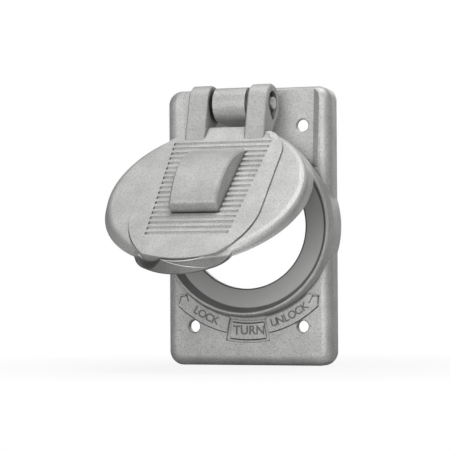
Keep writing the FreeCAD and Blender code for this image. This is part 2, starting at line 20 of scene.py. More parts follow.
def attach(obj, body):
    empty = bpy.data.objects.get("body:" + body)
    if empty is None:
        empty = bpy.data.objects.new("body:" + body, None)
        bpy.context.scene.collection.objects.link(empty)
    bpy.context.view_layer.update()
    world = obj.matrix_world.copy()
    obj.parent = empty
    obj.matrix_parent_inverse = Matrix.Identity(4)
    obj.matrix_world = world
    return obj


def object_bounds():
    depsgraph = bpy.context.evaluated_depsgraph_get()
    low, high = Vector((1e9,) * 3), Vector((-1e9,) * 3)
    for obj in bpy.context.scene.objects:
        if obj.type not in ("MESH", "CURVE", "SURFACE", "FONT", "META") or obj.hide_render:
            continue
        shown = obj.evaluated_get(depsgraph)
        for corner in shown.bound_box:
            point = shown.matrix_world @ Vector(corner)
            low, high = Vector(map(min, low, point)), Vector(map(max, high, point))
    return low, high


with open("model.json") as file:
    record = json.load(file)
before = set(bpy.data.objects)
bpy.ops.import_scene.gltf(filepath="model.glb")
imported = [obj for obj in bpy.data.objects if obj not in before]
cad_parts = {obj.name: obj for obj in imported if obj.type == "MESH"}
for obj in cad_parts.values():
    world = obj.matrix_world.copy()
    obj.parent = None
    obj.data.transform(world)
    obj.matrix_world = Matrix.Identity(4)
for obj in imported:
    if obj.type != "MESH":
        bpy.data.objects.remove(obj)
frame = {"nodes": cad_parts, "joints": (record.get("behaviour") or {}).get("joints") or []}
CAD_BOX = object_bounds()

LOG = logging.getLogger("lift_cover")

Piece = bpy.types.Object
Finish = bpy.types.Material
Tree = bpy.types.NodeTree
Socket = bpy.types.NodeSocket

# The hinge, and the turn from the upright lid to the lid at rest. The hinge's range starts where
# the lid is shut, with its top leaning towards the wall by its slope
LID_HINGE = next(joint for joint in frame["joints"] if joint["name"] == "lid_hinge")
HINGE = Vector(LID_HINGE["pos_m"])
LID_SLOPE_DEG = 2.0
LID_LIFT = math.radians(-LID_HINGE["range_deg"][0] - LID_SLOPE_DEG)

# Sockets of a colour mix: its share, the colour below, the colour above and the result
SHARE, BELOW, ABOVE, MIXED = 0, 6, 7, 2

# Multiplied with a point, this drops its depth and keeps its place in the plane of the wall
WALL_PLANE = (1.0, 0.0, 1.0)

# An arc's longest step and fewest steps when it is swept, and how near its doubled points lie
SWEEP_STEP_DEG = 1.5
SWEEP_STEPS_LEAST = 4
DOUBLES_WITHIN = 1e-6

WHITE = "#FFFFFF"


def mm(value: float) -> float:
    """Metres from millimetres."""
    return value / 1000.0


def per_metre(size_mm: float) -> float:
    """How often a pattern of a real size repeats in a metre."""
    return 1.0 / mm(size_mm)


def on_upright_lid(x: float, drop: float, depth: float) -> tuple[float, float, float]:
    """A point of the upright lid by its distances from the hinge axis, in metres."""
    return x, HINGE.y + depth, HINGE.z - drop


def linear(hex_colour: str) -> tuple[float, float, float, float]:
    """Turn an sRGB hex colour into linear RGBA.

    Args:
        hex_colour: Six hex digits after a hash.

    Returns:
        Red, green, blue and an alpha of 1.
    """
    def channel(start: int) -> float:
        """One linear channel, by the sRGB curve."""
        value = int(hex_colour[start:start + 2], 16) / 255.0
        return value / 12.92 if value <= 0.04045 else ((value + 0.055) / 1.055) ** 2.4

    return channel(1), channel(3), channel(5), 1.0


def add_node(tree: Tree, kind: str, settings: dict[str | int, Any] | None = None,
             links: dict[str | int, Socket] | None = None) -> bpy.types.Node:
    """Add one node with its settings and the sockets that feed it.

    Args:
        tree: The node tree that gets the node.
        kind: The node's type name.
        settings: Property names, or input names or numbers, with their values.
        links: Input names or numbers with the output sockets joined to them.

    Returns:
        The new node.
    """
    node = tree.nodes.new(kind)
    for name, value in (settings or {}).items():
        if isinstance(name, str) and hasattr(node, name):
            setattr(node, name, value)
        else:
            node.inputs[name].default_value = value
    for name, socket in (links or {}).items():
        tree.links.new(socket, node.inputs[name])
    return node


def blank_material(name: str) -> tuple[Finish, Tree]:
    """Make an empty node material.

    Args:
        name: The material's name.

    Returns:
        The material and its node tree.
    """
    material = bpy.data.materials.new(name)
    material.use_nodes = True
    material.node_tree.nodes.clear()
    return material, material.node_tree


@dataclass(frozen=True)
class PaintedShade:
    """Painted shade in hollows and creases, darkest where walls close by hide most of the view.

    The reach is how far away a wall still counts, in millimetres. The painted shade is darkest, by
    most, where the open share of the view falls to the lower share, and gone where it rises to the upper
    share.
    """

    reach_mm: float
    darkest_at: float
    unshaded_at: float
    most: float


@dataclass(frozen=True)
class DieCastAluminium:
    """Aluminium die casting, tumbled after casting: a matt light grey skin with a fine pebbled grain.

    The eye sees soft broad highlights, tumbled edges that catch the light, fine darker pores, painted
    shade in hollows and creases, and faint cloudy patches. Metallic and roughness are matched to that soft
    sheen. The grain is drawn at 0.42 mm, as coarse as it has to be to show.
    """

    name: str = "die_cast_aluminium_tumbled"
    pale: str = "#CFCFCE"
    dark: str = "#C2C2C1"
    pore: str = "#9C9C9B"
    # Painted shade: its colour in hollows and creases, the bands of nearby walls that give it, and whether
    # only the casting's own walls count
    shade_colour: str = "#484847"
    shade_bands: tuple[PaintedShade, ...] = (PaintedShade(5.0, 0.1, 0.84, 1.0), PaintedShade(0.9, 0.4, 0.92, 0.7))
    shade_from_own_parts_only: bool = True
    # Each span gives the noise at which its effect begins and at which it is full
    cloud_mm: float = 9.0
    cloud_span: tuple[float, float] = (0.35, 0.65)
    grain_mm: float = 0.42
    grain_span: tuple[float, float] = (0.3, 0.7)
    grain_depth_mm: float = 0.07
    pore_span: tuple[float, float] = (0.5, 0.66)
    edge_mm: float = 0.16
    metallic: float = 0.72
    roughness: float = 0.6
    roughness_spread: tuple[float, float] = (-0.04, 0.06)

    def build(self) -> Finish:
        """Make the material.

        Returns:
            The finish.
        """
        material, tree = blank_material(self.name)
        point = add_node(tree, "ShaderNodeTexCoord").outputs["Object"]
        cloud = add_node(tree, "ShaderNodeTexNoise",
                         {"Scale": per_metre(self.cloud_mm), "Detail": 4.0, "Roughness": 0.55},
                         {"Vector": point}).outputs[0]
        grain = add_node(tree, "ShaderNodeTexNoise",
                         {"Scale": per_metre(self.grain_mm), "Detail": 4.0, "Roughness": 0.65},
                         {"Vector": point}).outputs[0]
        patches = add_node(tree, "ShaderNodeMapRange",
                           {"From Min": self.cloud_span[0], "From Max": self.cloud_span[1]}, {"Value": cloud})
        body = add_node(tree, "ShaderNodeMix",
                        {"data_type": "RGBA", BELOW: linear(self.dark), ABOVE: linear(self.pale)},
                        {SHARE: patches.outputs[0]})
        pits = add_node(tree, "ShaderNodeMapRange",
                        {"From Min": self.pore_span[0], "From Max": self.pore_span[1]}, {"Value": grain})
        skin = add_node(tree, "ShaderNodeMix", {"data_type": "RGBA", ABOVE: linear(self.pore)},
                        {SHARE: pits.outputs[0], BELOW: body.outputs[MIXED]}).outputs[MIXED]
        # Painted shade where nearby walls hide the view
        for shade_band in self.shade_bands:
            skin = self.shaded(tree, skin, shade_band)
        skin = self.shade_by_place(tree, point, skin)
        smooth, coarse = self.roughness_spread
        rough = add_node(tree, "ShaderNodeMapRange",
                         {"From Min": self.grain_span[0], "From Max": self.grain_span[1],
                          "To Min": self.roughness + smooth, "To Max": self.roughness + coarse},
                         {"Value": grain})
        worn = add_node(tree, "ShaderNodeBevel", {"samples": 6, "Radius": mm(self.edge_mm)})
        bump = add_node(tree, "ShaderNodeBump", {"Strength": 1.0, "Distance": mm(self.grain_depth_mm)},
                        {"Height": grain, "Normal": worn.outputs[0]})
        shader = add_node(tree, "ShaderNodeBsdfPrincipled", {"Metallic": self.metallic},
                          {"Base Color": skin, "Roughness": rough.outputs[0], "Normal": bump.outputs[0]})
        add_node(tree, "ShaderNodeOutputMaterial", links={"Surface": shader.outputs[0]})
        return material

    def shaded(self, tree: Tree, skin: Socket, shade_band: PaintedShade) -> Socket:
        """Paint shade into the skin in hollows and creases.

        Args:
            tree: The material's node tree.
            skin: The colour so far.
            shade_band: How close the walls are, and how much painted shade they give.

        Returns:
            The new colour.
        """
        view = add_node(tree, "ShaderNodeAmbientOcclusion",
                        {"samples": 8, "only_local": self.shade_from_own_parts_only, "Distance": mm(shade_band.reach_mm)})
        share = add_node(tree, "ShaderNodeMapRange",
                         {"interpolation_type": "SMOOTHSTEP", "From Min": shade_band.darkest_at,
                          "From Max": shade_band.unshaded_at, "To Min": shade_band.most, "To Max": 0.0},
                         {"Value": view.outputs["AO"]})
        return add_node(tree, "ShaderNodeMix", {"data_type": "RGBA", ABOVE: linear(self.shade_colour)},
                        {SHARE: share.outputs[0], BELOW: skin}).outputs[MIXED]

    def shade_by_place(self, tree: Tree, point: Socket, skin: Socket) -> Socket:
        """Leave the colour as it is, on castings with no painted shade by place."""
        return skin


@dataclass(frozen=True)
class PlateCasting(DieCastAluminium):
    """The plate's casting: the same tumbled skin, with painted shade inside the collar.

    Painted shade gives a dark ring where the collar's mouth tapers in, a darker ledge behind it and a thin
    dark line round the opening.
    """

    name: str = "die_cast_aluminium_plate"
    # Outer radius in millimetres and painted shade colour: the mouth, the ledge and the opening's edge
    rings: tuple[tuple[float, str], ...] = ((36.1, "#8A8A89"), (33.95, "#BEBEBD"), (26.65, "#565655"))
    ring_fade: float = mm(0.35)
    # Only what stands in front of this depth gets painted shade; it is just behind the ledge's face
    behind_ledge: float = mm(-4.4)

    def shade_by_place(self, tree: Tree, point: Socket, skin: Socket) -> Socket:
        """Paint shade on the collar's mouth, the ledge and the opening's edge, ring within ring.

        Args:
            tree: The material's node tree.
            point: Object coordinates.
            skin: The colour so far.

        Returns:
            The new colour.
        """
        depth = add_node(tree, "ShaderNodeSeparateXYZ", links={0: point}).outputs["Y"]
        flat = add_node(tree, "ShaderNodeVectorMath", {"operation": "MULTIPLY", 1: WALL_PLANE}, {0: point})
        radius = add_node(tree, "ShaderNodeVectorMath", {"operation": "LENGTH"}, {0: flat.outputs[0]})
        front = add_node(tree, "ShaderNodeMath", {"operation": "LESS_THAN", 1: self.behind_ledge}, {0: depth})
        for limit, colour in self.rings:
            within = add_node(tree, "ShaderNodeMapRange",
                              {"From Min": mm(limit), "From Max": mm(limit) - self.ring_fade},
                              {"Value": radius.outputs["Value"]})
            share = add_node(tree, "ShaderNodeMath", {"operation": "MULTIPLY"},
                             {0: within.outputs[0], 1: front.outputs[0]})
            skin = add_node(tree, "ShaderNodeMix", {"data_type": "RGBA", ABOVE: linear(colour)},
                            {SHARE: share.outputs[0], BELOW: skin}).outputs[MIXED]
        return skin


@dataclass(frozen=True)
class LidCasting(DieCastAluminium):
    """The lid's casting: the same tumbled skin, with painted shade on the steep faces of the grip lip.

    The skin stays as it is up to a ridge along the panel's nose; painted shade darkens the lip below
    it, and its thumb dish more.
    """

    name: str = "die_cast_aluminium_lid"
    shade_from_own_parts_only: bool = False
    # Painted shade: a grey multiplied over the lip past the ridge, and a dark grey in the thumb dish
    lip: str = "#ACACAB"
    dish: str = "#666665"
    # The drop to the centre of the panel's round nose, and the radii at which the painted shade of the
    # dish and of the lip begins, just past that nose
    nose_centre: float = mm(49.6)
    nose_r: float = mm(41.85)
    ridge_r: float = mm(41.9)
    ridge_fade: float = mm(0.7)
    lip_top: float = mm(82.7)
    # The ball that scoops the dish, as x, drop and depth with its radius, and how far past that
    # radius the dish's painted shade begins and is full
    dish_place: tuple[float, float, float] = (mm(-14.3), mm(92.6), mm(-3.15))
    dish_r: float = mm(10.0)
    dish_edge: tuple[float, float] = (mm(0.35), mm(0.05))

    def shade_by_place(self, tree: Tree, point: Socket, skin: Socket) -> Socket:
        """Paint shade on the lip past the ridge, and more on its thumb dish.

        Args:
            tree: The material's node tree.
            point: Object coordinates.
            skin: The colour so far.

        Returns:
            The new colour.
        """
        upright = add_node(tree, "ShaderNodeVectorRotate",
                           {"rotation_type": "X_AXIS", "Center": HINGE, "Angle": LID_LIFT},
                           {"Vector": point}).outputs[0]
        flat = add_node(tree, "ShaderNodeVectorMath", {"operation": "MULTIPLY", 1: WALL_PLANE}, {0: upright})
        nose = (0.0, 0.0, HINGE.z - self.nose_centre)
        radius = add_node(tree, "ShaderNodeVectorMath", {"operation": "DISTANCE", 1: nose},
                          {0: flat.outputs[0]}).outputs["Value"]
        outside = add_node(tree, "ShaderNodeMapRange",
                           {"From Min": self.ridge_r, "From Max": self.ridge_r + self.ridge_fade},
                           {"Value": radius})
        height = add_node(tree, "ShaderNodeSeparateXYZ", links={0: upright}).outputs["Z"]
        low = add_node(tree, "ShaderNodeMath", {"operation": "LESS_THAN", 1: HINGE.z - self.lip_top},
                       {0: height})
        past = add_node(tree, "ShaderNodeMath", {"operation": "MULTIPLY"},
                        {0: outside.outputs[0], 1: low.outputs[0]})
        # Painted shade on the lip's steep faces
        lip = add_node(tree, "ShaderNodeMix",
                       {"data_type": "RGBA", "blend_type": "MULTIPLY", ABOVE: linear(self.lip)},
                       {SHARE: past.outputs[0], BELOW: skin})
        ball = on_upright_lid(*self.dish_place)
        reach = add_node(tree, "ShaderNodeVectorMath", {"operation": "DISTANCE", 1: ball},
                         {0: upright}).outputs["Value"]
        clear, dark = self.dish_edge
        inside = add_node(tree, "ShaderNodeMapRange",
                          {"From Min": self.dish_r + clear, "From Max": self.dish_r + dark}, {"Value": reach})
        off_panel = add_node(tree, "ShaderNodeMath", {"operation": "GREATER_THAN", 1: self.nose_r},
                             {0: radius})
        scoop = add_node(tree, "ShaderNodeMath", {"operation": "MULTIPLY"},
                         {0: inside.outputs[0], 1: off_panel.outputs[0]})
        # Painted shade in the thumb dish
        return add_node(tree, "ShaderNodeMix", {"data_type": "RGBA", ABOVE: linear(self.dish)},
                        {SHARE: scoop.outputs[0], BELOW: lip.outputs[MIXED]}).outputs[MIXED]


@dataclass(frozen=True)
class DrawnMetal:
    """Drawn rod or rolled strip: bare metal with fine lines along X from the die or the roll.

    The eye sees a soft sheen with faint streaks. The lines are drawn coarser than real ones, so that
    they show.
    """

    name: str
    colour: str
    line_colour: str
    roughness: float
    line_mm: float = 0.35
    line_depth_mm: float = 0.01
    stretch: tuple[float, float, float] = (0.08, 1.0, 1.0)

    def build(self) -> Finish:
        """Make the material.

        Returns:
            The finish.
        """
        material, tree = blank_material(self.name)
        point = add_node(tree, "ShaderNodeTexCoord").outputs["Object"]
        along = add_node(tree, "ShaderNodeMapping", {"Scale": self.stretch}, {"Vector": point})
        lines = add_node(tree, "ShaderNodeTexNoise",
                         {"Scale": per_metre(self.line_mm), "Detail": 3.0, "Roughness": 0.55},
                         {"Vector": along.outputs[0]}).outputs[0]
        skin = add_node(tree, "ShaderNodeMix",
                        {"data_type": "RGBA", BELOW: linear(self.colour), ABOVE: linear(self.line_colour)},
                        {SHARE: lines})
        bump = add_node(tree, "ShaderNodeBump", {"Strength": 0.6, "Distance": mm(self.line_depth_mm)},
                        {"Height": lines})
        shader = add_node(tree, "ShaderNodeBsdfPrincipled", {"Metallic": 1.0, "Roughness": self.roughness},
                          {"Base Color": skin.outputs[MIXED], "Normal": bump.outputs[0]})
        add_node(tree, "ShaderNodeOutputMaterial", links={"Surface": shader.outputs[0]})
        return material


@dataclass(frozen=True)
class MouldedRubber:
    """Moulded black rubber: the eye sees matt near black with a dusty bloom in soft patches.

    Its pores are drawn coarser than real ones, so that they show.
    """

    name: str = "black_rubber_moulded"
    colour: str = "#262626"
    bloom: str = "#3A3A39"
    bloom_mm: float = 4.0
    pore_mm: float = 0.5
    pore_depth_mm: float = 0.03
    roughness: float = 0.72
    ior: float = 1.5

    def build(self) -> Finish:
        """Make the material.

        Returns:
            The finish.
        """
        material, tree = blank_material(self.name)
        point = add_node(tree, "ShaderNodeTexCoord").outputs["Object"]
        patches = add_node(tree, "ShaderNodeTexNoise",
                           {"Scale": per_metre(self.bloom_mm), "Detail": 3.0, "Roughness": 0.55},
                           {"Vector": point})
        pores = add_node(tree, "ShaderNodeTexNoise",
                         {"Scale": per_metre(self.pore_mm), "Detail": 2.0, "Roughness": 0.55},
                         {"Vector": point})
        skin = add_node(tree, "ShaderNodeMix",
                        {"data_type": "RGBA", BELOW: linear(self.colour), ABOVE: linear(self.bloom)},
                        {SHARE: patches.outputs[0]})
        bump = add_node(tree, "ShaderNodeBump", {"Strength": 0.7, "Distance": mm(self.pore_depth_mm)},
                        {"Height": pores.outputs[0]})
        shader = add_node(tree, "ShaderNodeBsdfPrincipled", {"Roughness": self.roughness, "IOR": self.ior},
                          {"Base Color": skin.outputs[MIXED], "Normal": bump.outputs[0]})
        add_node(tree, "ShaderNodeOutputMaterial", links={"Surface": shader.outputs[0]})
        return material


def deselect_all() -> None:
    """Leave object mode with nothing selected."""
    if bpy.context.object and bpy.context.object.mode != "OBJECT":
        bpy.ops.object.mode_set(mode="OBJECT")
    bpy.ops.object.select_all(action="DESELECT")


def pick(pieces: list[Piece]) -> None:
    """Select some pieces alone, with the first one active.

    Args:
        pieces: What an operator is to act on.
    """
    deselect_all()
    for piece in pieces:
        piece.select_set(True)
    bpy.context.view_layer.objects.active = pieces[0]


def apply_place(piece: Piece) -> None:
    """Move the object's place, turn and scale into its mesh."""
    pick([piece])
    bpy.ops.object.transform_apply(location=True, rotation=True, scale=True)


def wear(piece: Piece, finish: Finish) -> None:
    """Give a piece one finish in place of what it had."""
    piece.data.materials.clear()
    piece.data.materials.append(finish)


def swept_arc(name: str, corners: int, section: tuple[float, float], radius: float,
              span: tuple[float, float]) -> Piece:
    """Sweep a small section along an arc about the Y axis.

    Args:
        name: The piece's name.
        corners: How many corners the section has.
        section: Its width along the radius and its depth along Y.
        radius: The arc's radius.
        span: Where it begins and ends, in degrees to the right of straight down.

    Returns:
        The swept mesh.
    """
    start, end = span
    deselect_all()
    bpy.ops.mesh.primitive_circle_add(vertices=corners, radius=0.5, fill_type="NGON",
                                      rotation=(0.0, math.radians(90), 0.0))
    piece = bpy.context.object
    piece.name = name
    apply_place(piece)
    piece.scale = (1.0, section[1], section[0])
    piece.location = (0.0, 0.0, -radius)
    apply_place(piece)
    piece.rotation_euler = (0.0, math.radians(-start), 0.0)
    apply_place(piece)
    bpy.ops.object.mode_set(mode="EDIT")
    bpy.ops.mesh.select_all(action="SELECT")
    bpy.ops.mesh.spin(steps=max(SWEEP_STEPS_LEAST, round(abs(end - start) / SWEEP_STEP_DEG)),
                      angle=math.radians(end - start), center=(0.0, 0.0, 0.0), axis=(0.0, 1.0, 0.0))
    bpy.ops.mesh.select_all(action="SELECT")
    bpy.ops.mesh.remove_doubles(threshold=DOUBLES_WITHIN)
    bpy.ops.mesh.normals_make_consistent(inside=False)
    bpy.ops.object.mode_set(mode="OBJECT")
    return piece


class Word(Enum):
    """The plain function words on the bands, with their letters' degrees to the right of straight down."""

    LOCK = (-33.0, -28.9, -24.4, -20.2)
    UNLOCK = (16.3, 20.2, 24.0, 28.0, 32.4, 36.6)


@dataclass(frozen=True)
class ReliefEdge:
    """An edge that follows the collar: its radius in millimetres and its span in degrees, as for letters."""

    name: str
    radius_mm: float
    span: tuple[float, float]


@dataclass
class Lettering:
    """The words and arrows cast in low relief on the plate's lower face, painted darker as shade, and
    painted shadow lines at the feet of edges there.
    """

    # The plate's face, the bands' height on it and the depth of the groove that frames the pad
    face_y: float = mm(-3.2)
    band_height: float = mm(0.35)
    groove_depth: float = mm(0.5)
    arc_radius: float = mm(41.7)
    letter_height: float = mm(4.6)
    pad_letter_height: float = mm(5.2)
    pad_x: float = mm(0.5)
    pad_z: float = mm(-43.35)
    rise: float = mm(0.12)
    stroke: float = mm(0.11)
    arrow_width: float = mm(0.55)
    # The corners of both arrow heads as x and z in millimetres
    arrows: tuple[tuple[tuple[float, float], ...], ...] = (
        ((-30.4, -31.9), (-29.7, -29.3), (-27.0, -28.7), (-26.4, -31.0)),
        ((26.9, -31.8), (28.5, -29.0), (30.9, -29.1), (30.7, -31.9)),
    )
    edge_corners: int = 4
    edge_width: float = mm(0.45)
    edge_rise: float = mm(0.06)
    band_edges: tuple[ReliefEdge, ...] = (ReliefEdge("band_edge_left", 45.2, (-43.0, -12.0)),
                                          ReliefEdge("band_edge_right", 45.2, (12.0, 43.0)))
    pad_edges: tuple[ReliefEdge, ...] = (ReliefEdge("pad_edge_top", 40.3, (-9.6, 9.6)),
                                         ReliefEdge("pad_edge_foot", 47.3, (-9.7, 9.7)))
    edges: list[Piece] = field(default_factory=list)
    relief: list[Piece] = field(default_factory=list)

    @property
    def band_y(self) -> float:
        """The depth of the raised bands' tops."""
        return self.face_y - self.band_height

    def letter(self, text: str, name: str, height: float, place: Vector, turn: float) -> Piece:
        """Cast one letter or word in relief.

        Args:
            text: What it says.
            name: The piece's name.
            height: Its height, with the font's own margin.
            place: Its middle, on the surface that it stands on.
            turn: Its turn in the plane of the wall, in radians.

        Returns:
            The finished mesh.
        """
        deselect_all()
        bpy.ops.object.text_add()
        piece = bpy.context.object
        piece.name = name
        piece.data.body = text
        piece.data.align_x = "CENTER"
        piece.data.align_y = "CENTER"
        piece.data.size = height
        piece.data.offset = self.stroke
        piece.data.extrude = self.rise
        bpy.ops.object.convert(target="MESH")
        upright = Matrix.Rotation(math.radians(90), 4, "X")
        spin = Matrix.Rotation(-turn, 4, "Y")
        piece.matrix_world = Matrix.Translation(place) @ spin @ upright
        apply_place(piece)
        return piece

    def word(self, word: Word) -> list[Piece]:
        """Cast a word letter by letter along its band.

        Args:
            word: Which word.

        Returns:
            Its letters.
        """
        letters = []
        for index, (letter, degrees) in enumerate(zip(word.name, word.value)):
            turn = math.radians(degrees)
            place = Vector((self.arc_radius * math.sin(turn), self.band_y, -self.arc_radius * math.cos(turn)))
            name = f"letter_{word.name.lower()}_{index + 1}"
            letters.append(self.letter(letter, name, self.letter_height, place, turn))
        return letters

    def arrow(self, name: str, points: tuple[tuple[float, float], ...]) -> Piece:
        """Cast an arrow's head as a bent raised line.

        Args:
            name: The piece's name.
            points: Its corners as x and z in millimetres.

        Returns:
            The finished mesh.
        """
        bars = []
        for (x0, z0), (x1, z1) in zip(points, points[1:]):
            deselect_all()
            bpy.ops.mesh.primitive_cube_add(size=1.0)
            bar = bpy.context.object
            bar.scale = (mm(math.hypot(x1 - x0, z1 - z0)) + self.arrow_width, 2 * self.rise, self.arrow_width)
            bar.rotation_euler = (0.0, -math.atan2(z1 - z0, x1 - x0), 0.0)
            bar.location = (mm((x0 + x1) / 2), self.band_y, mm((z0 + z1) / 2))
            bars.append(bar)
        pick(bars)
        bpy.ops.object.join()
        piece = bars[0]
        piece.name = name
        apply_place(piece)
        return piece

    def shadow_line(self, edge: ReliefEdge, y: float) -> Piece:
        """Draw a painted shadow line at the foot of a relief edge that follows the collar.

        Args:
            edge: Its name, radius and span.
            y: The depth of the surface that it lies on.

        Returns:
            The finished mesh.
        """
        section = (self.edge_width, 2 * self.edge_rise)
        piece = swept_arc(edge.name, self.edge_corners, section, mm(edge.radius_mm), edge.span)
        piece.location = (0.0, y, 0.0)
        apply_place(piece)
        return piece

    def build(self) -> list[Piece]:
        """Make every relief edge, letter and arrow.

        Returns:
            The pieces, in place on the plate.
        """
        self.edges = [self.shadow_line(edge, self.face_y) for edge in self.band_edges]
        self.edges += [self.shadow_line(edge, self.face_y + self.groove_depth) for edge in self.pad_edges]
        for word in Word:
            self.relief += self.word(word)
        pad = Vector((self.pad_x, self.face_y, self.pad_z))
        self.relief.append(self.letter("TURN", "letter_turn", self.pad_letter_height, pad, 0.0))
        for side, points in zip(("left", "right"), self.arrows):
            self.relief.append(self.arrow(f"arrow_{side}", points))
        return self.edges + self.relief

    def dress(self) -> None:
        """Paint letters and arrows darker as shade and edge feet near black as shadow; fix all to the plate.
        """
        # Painted shadow at the edges' feet, and painted shade on the letters and arrows
        edge = DieCastAluminium("die_cast_aluminium_edge", "#6C6C6B", "#626261", "#525251").build()
        relief = DieCastAluminium("die_cast_aluminium_relief", "#8C8C8B", "#828281", "#6C6C6B").build()
        for pieces, finish in ((self.edges, edge), (self.relief, relief)):
            for piece in pieces:
                wear(piece, finish)
                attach(piece, "plate")


@dataclass
class LidTrim:
    """Fine cast detail of the lid: two ridges along the grip lip painted bright as highlights, and a rough
    gate mark.
    """

    # The drop to the centre of the lip's round nose, with the radius and depth of its ledge's edge
    nose_centre: float = mm(68.39)
    ledge_r: float = mm(24.0)
    ledge_depth: float = mm(3.7)
    upper_corners: int = 8
    upper_section: tuple[float, float] = (mm(0.42), mm(0.42))
    upper_span: tuple[float, float] = (-15.5, 26.5)
    # The lower ridge's run across the lip's bevel as x, drop and depth in millimetres
    lower_line: tuple[tuple[float, float, float], ...] = (
        (-6.6, 91.45, 3.7), (-2.2, 93.15, 4.2), (2.5, 94.0, 4.75), (7.2, 94.15, 5.4), (12.0, 93.5, 6.15))
    lower_thickness: float = mm(0.16)
    lower_taper: float = 0.2
    gate_place: tuple[float, float, float] = (19.6, 17.4, 3.0)
    gate_size: tuple[float, float, float] = (8.4, 1.0, 4.2)
    gate_turn: float = math.radians(33)
    gate_fineness: int = 5
    gate_lump_size: float = mm(1.3)
    gate_lump_height: float = mm(0.7)
    ridges: list[Piece] = field(default_factory=list)
    gate: Piece | None = None

    def lifted(self) -> Matrix:
        """The turn and shift that take the upright lid, hung at the origin, to its rest place."""
        return Matrix.Translation(HINGE) @ Matrix.Rotation(-LID_LIFT, 4, "X")

    def upper_ridge(self) -> Piece:
        """Sweep the ridge along the edge of the lip's ledge.

        Returns:
            The ridge, not yet applied to its place.
        """
        ridge = swept_arc("lip_ridge_upper", self.upper_corners, self.upper_section, self.ledge_r,
                          self.upper_span)
        ridge.matrix_world = self.lifted() @ Matrix.Translation((0.0, self.ledge_depth, -self.nose_centre))
        return ridge

    def lower_ridge(self) -> Piece:
        """Draw the ridge that crosses the lip's bevel from the thumb dish down to the right.

        Returns:
            The ridge, not yet applied to its place.
        """
        deselect_all()
        bpy.ops.curve.primitive_nurbs_path_add()
        ridge = bpy.context.object
        ridge.name = "lip_ridge_lower"
        spline = ridge.data.splines[0]
        spline.order_u = 3
        spline.use_endpoint_u = True
        for knot, (x, drop, depth) in zip(spline.points, self.lower_line):
            knot.co = (mm(x), mm(depth), mm(-drop), 1.0)
        spline.points[-1].radius = self.lower_taper
        ridge.data.bevel_depth = self.lower_thickness
        ridge.data.bevel_resolution = 2
        ridge.data.use_fill_caps = True
        bpy.ops.object.convert(target="MESH")
        ridge.matrix_world = self.lifted()
        return ridge

    def gate_mark(self) -> Piece:
        """Leave the rough stub of the casting's gate on the panel's corner beside the right ear.

        Returns:
            The stub, not yet applied to its place.
        """
        deselect_all()
        bpy.ops.mesh.primitive_ico_sphere_add(subdivisions=self.gate_fineness, radius=0.5)
        stub = bpy.context.object
        stub.name = "gate_mark"
        stub.scale = tuple(mm(size) for size in self.gate_size)
        apply_place(stub)
        lumps = bpy.data.textures.new("gate_lumps", "CLOUDS")
        lumps.noise_scale = self.gate_lump_size
        rough = stub.modifiers.new("rough", "DISPLACE")
        rough.texture = lumps
        rough.texture_coords = "LOCAL"
        rough.strength = self.gate_lump_height
        bpy.ops.object.modifier_apply(modifier=rough.name)
        x, drop, depth = self.gate_place
        stub.matrix_world = (self.lifted() @ Matrix.Translation((mm(x), mm(depth), mm(-drop)))
                             @ Matrix.Rotation(self.gate_turn, 4, "Y"))
        return stub

    def build(self) -> list[Piece]:
        """Make both ridges and the gate mark, and lift them with the lid.

        Returns:
            The finished meshes.
        """
        self.ridges = [self.upper_ridge(), self.lower_ridge()]
        self.gate = self.gate_mark()
        for piece in self.ridges + [self.gate]:
            apply_place(piece)
            bpy.ops.object.shade_smooth()
        return self.ridges + [self.gate]

    def dress(self) -> None:
        """Give the ridges a bright skin as a painted highlight and the gate mark the plain one, and let all
        ride the lid.
        """
        # Painted highlight: a near-white, glossier skin on the ridges
        painted_highlight = DieCastAluminium("die_cast_aluminium_rubbed", "#F0F0EF", "#E6E6E5", "#D0D0CF",
                                  roughness=0.4).build()
        for ridge in self.ridges:
            wear(ridge, painted_highlight)
        wear(self.gate, DieCastAluminium("die_cast_aluminium_gate").build())
        for piece in self.ridges + [self.gate]:
            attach(piece, "lid")


@dataclass
class Castings:
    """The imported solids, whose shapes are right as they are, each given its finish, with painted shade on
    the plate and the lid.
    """

    finishes: dict[str, Finish] = field(default_factory=dict)

    def build(self) -> None:
        """Make the finish of each solid; the washers share theirs, and so do the seals."""
        steel = DrawnMetal("spring_steel_rolled", "#3C3B3A", "#2C2B2A", 0.5).build()
        rubber = MouldedRubber().build()
        self.finishes = {
            "cover_plate": PlateCasting().build(),
            "lid": LidCasting().build(),
            "hinge_pin": DrawnMetal("aluminium_rod_drawn", "#E0E0DE", "#CACAC8", 0.45).build(),
            "washer_left": steel,
            "washer_right": steel,
            "lid_seal": rubber,
            "box_seal": rubber,
        }

    def dress(self) -> None:
        """Put each finish on its solid."""
        for name, finish in self.finishes.items():
            wear(frame["nodes"][name], finish)
            LOG.info("%s wears %s", name, finish.name)


@dataclass(frozen=True)
class Lamp:
    """A soft square lamp: its place and side in metres, and its power in watts."""

    name: str
    place: tuple[float, float, float]
    side: float
    power: float


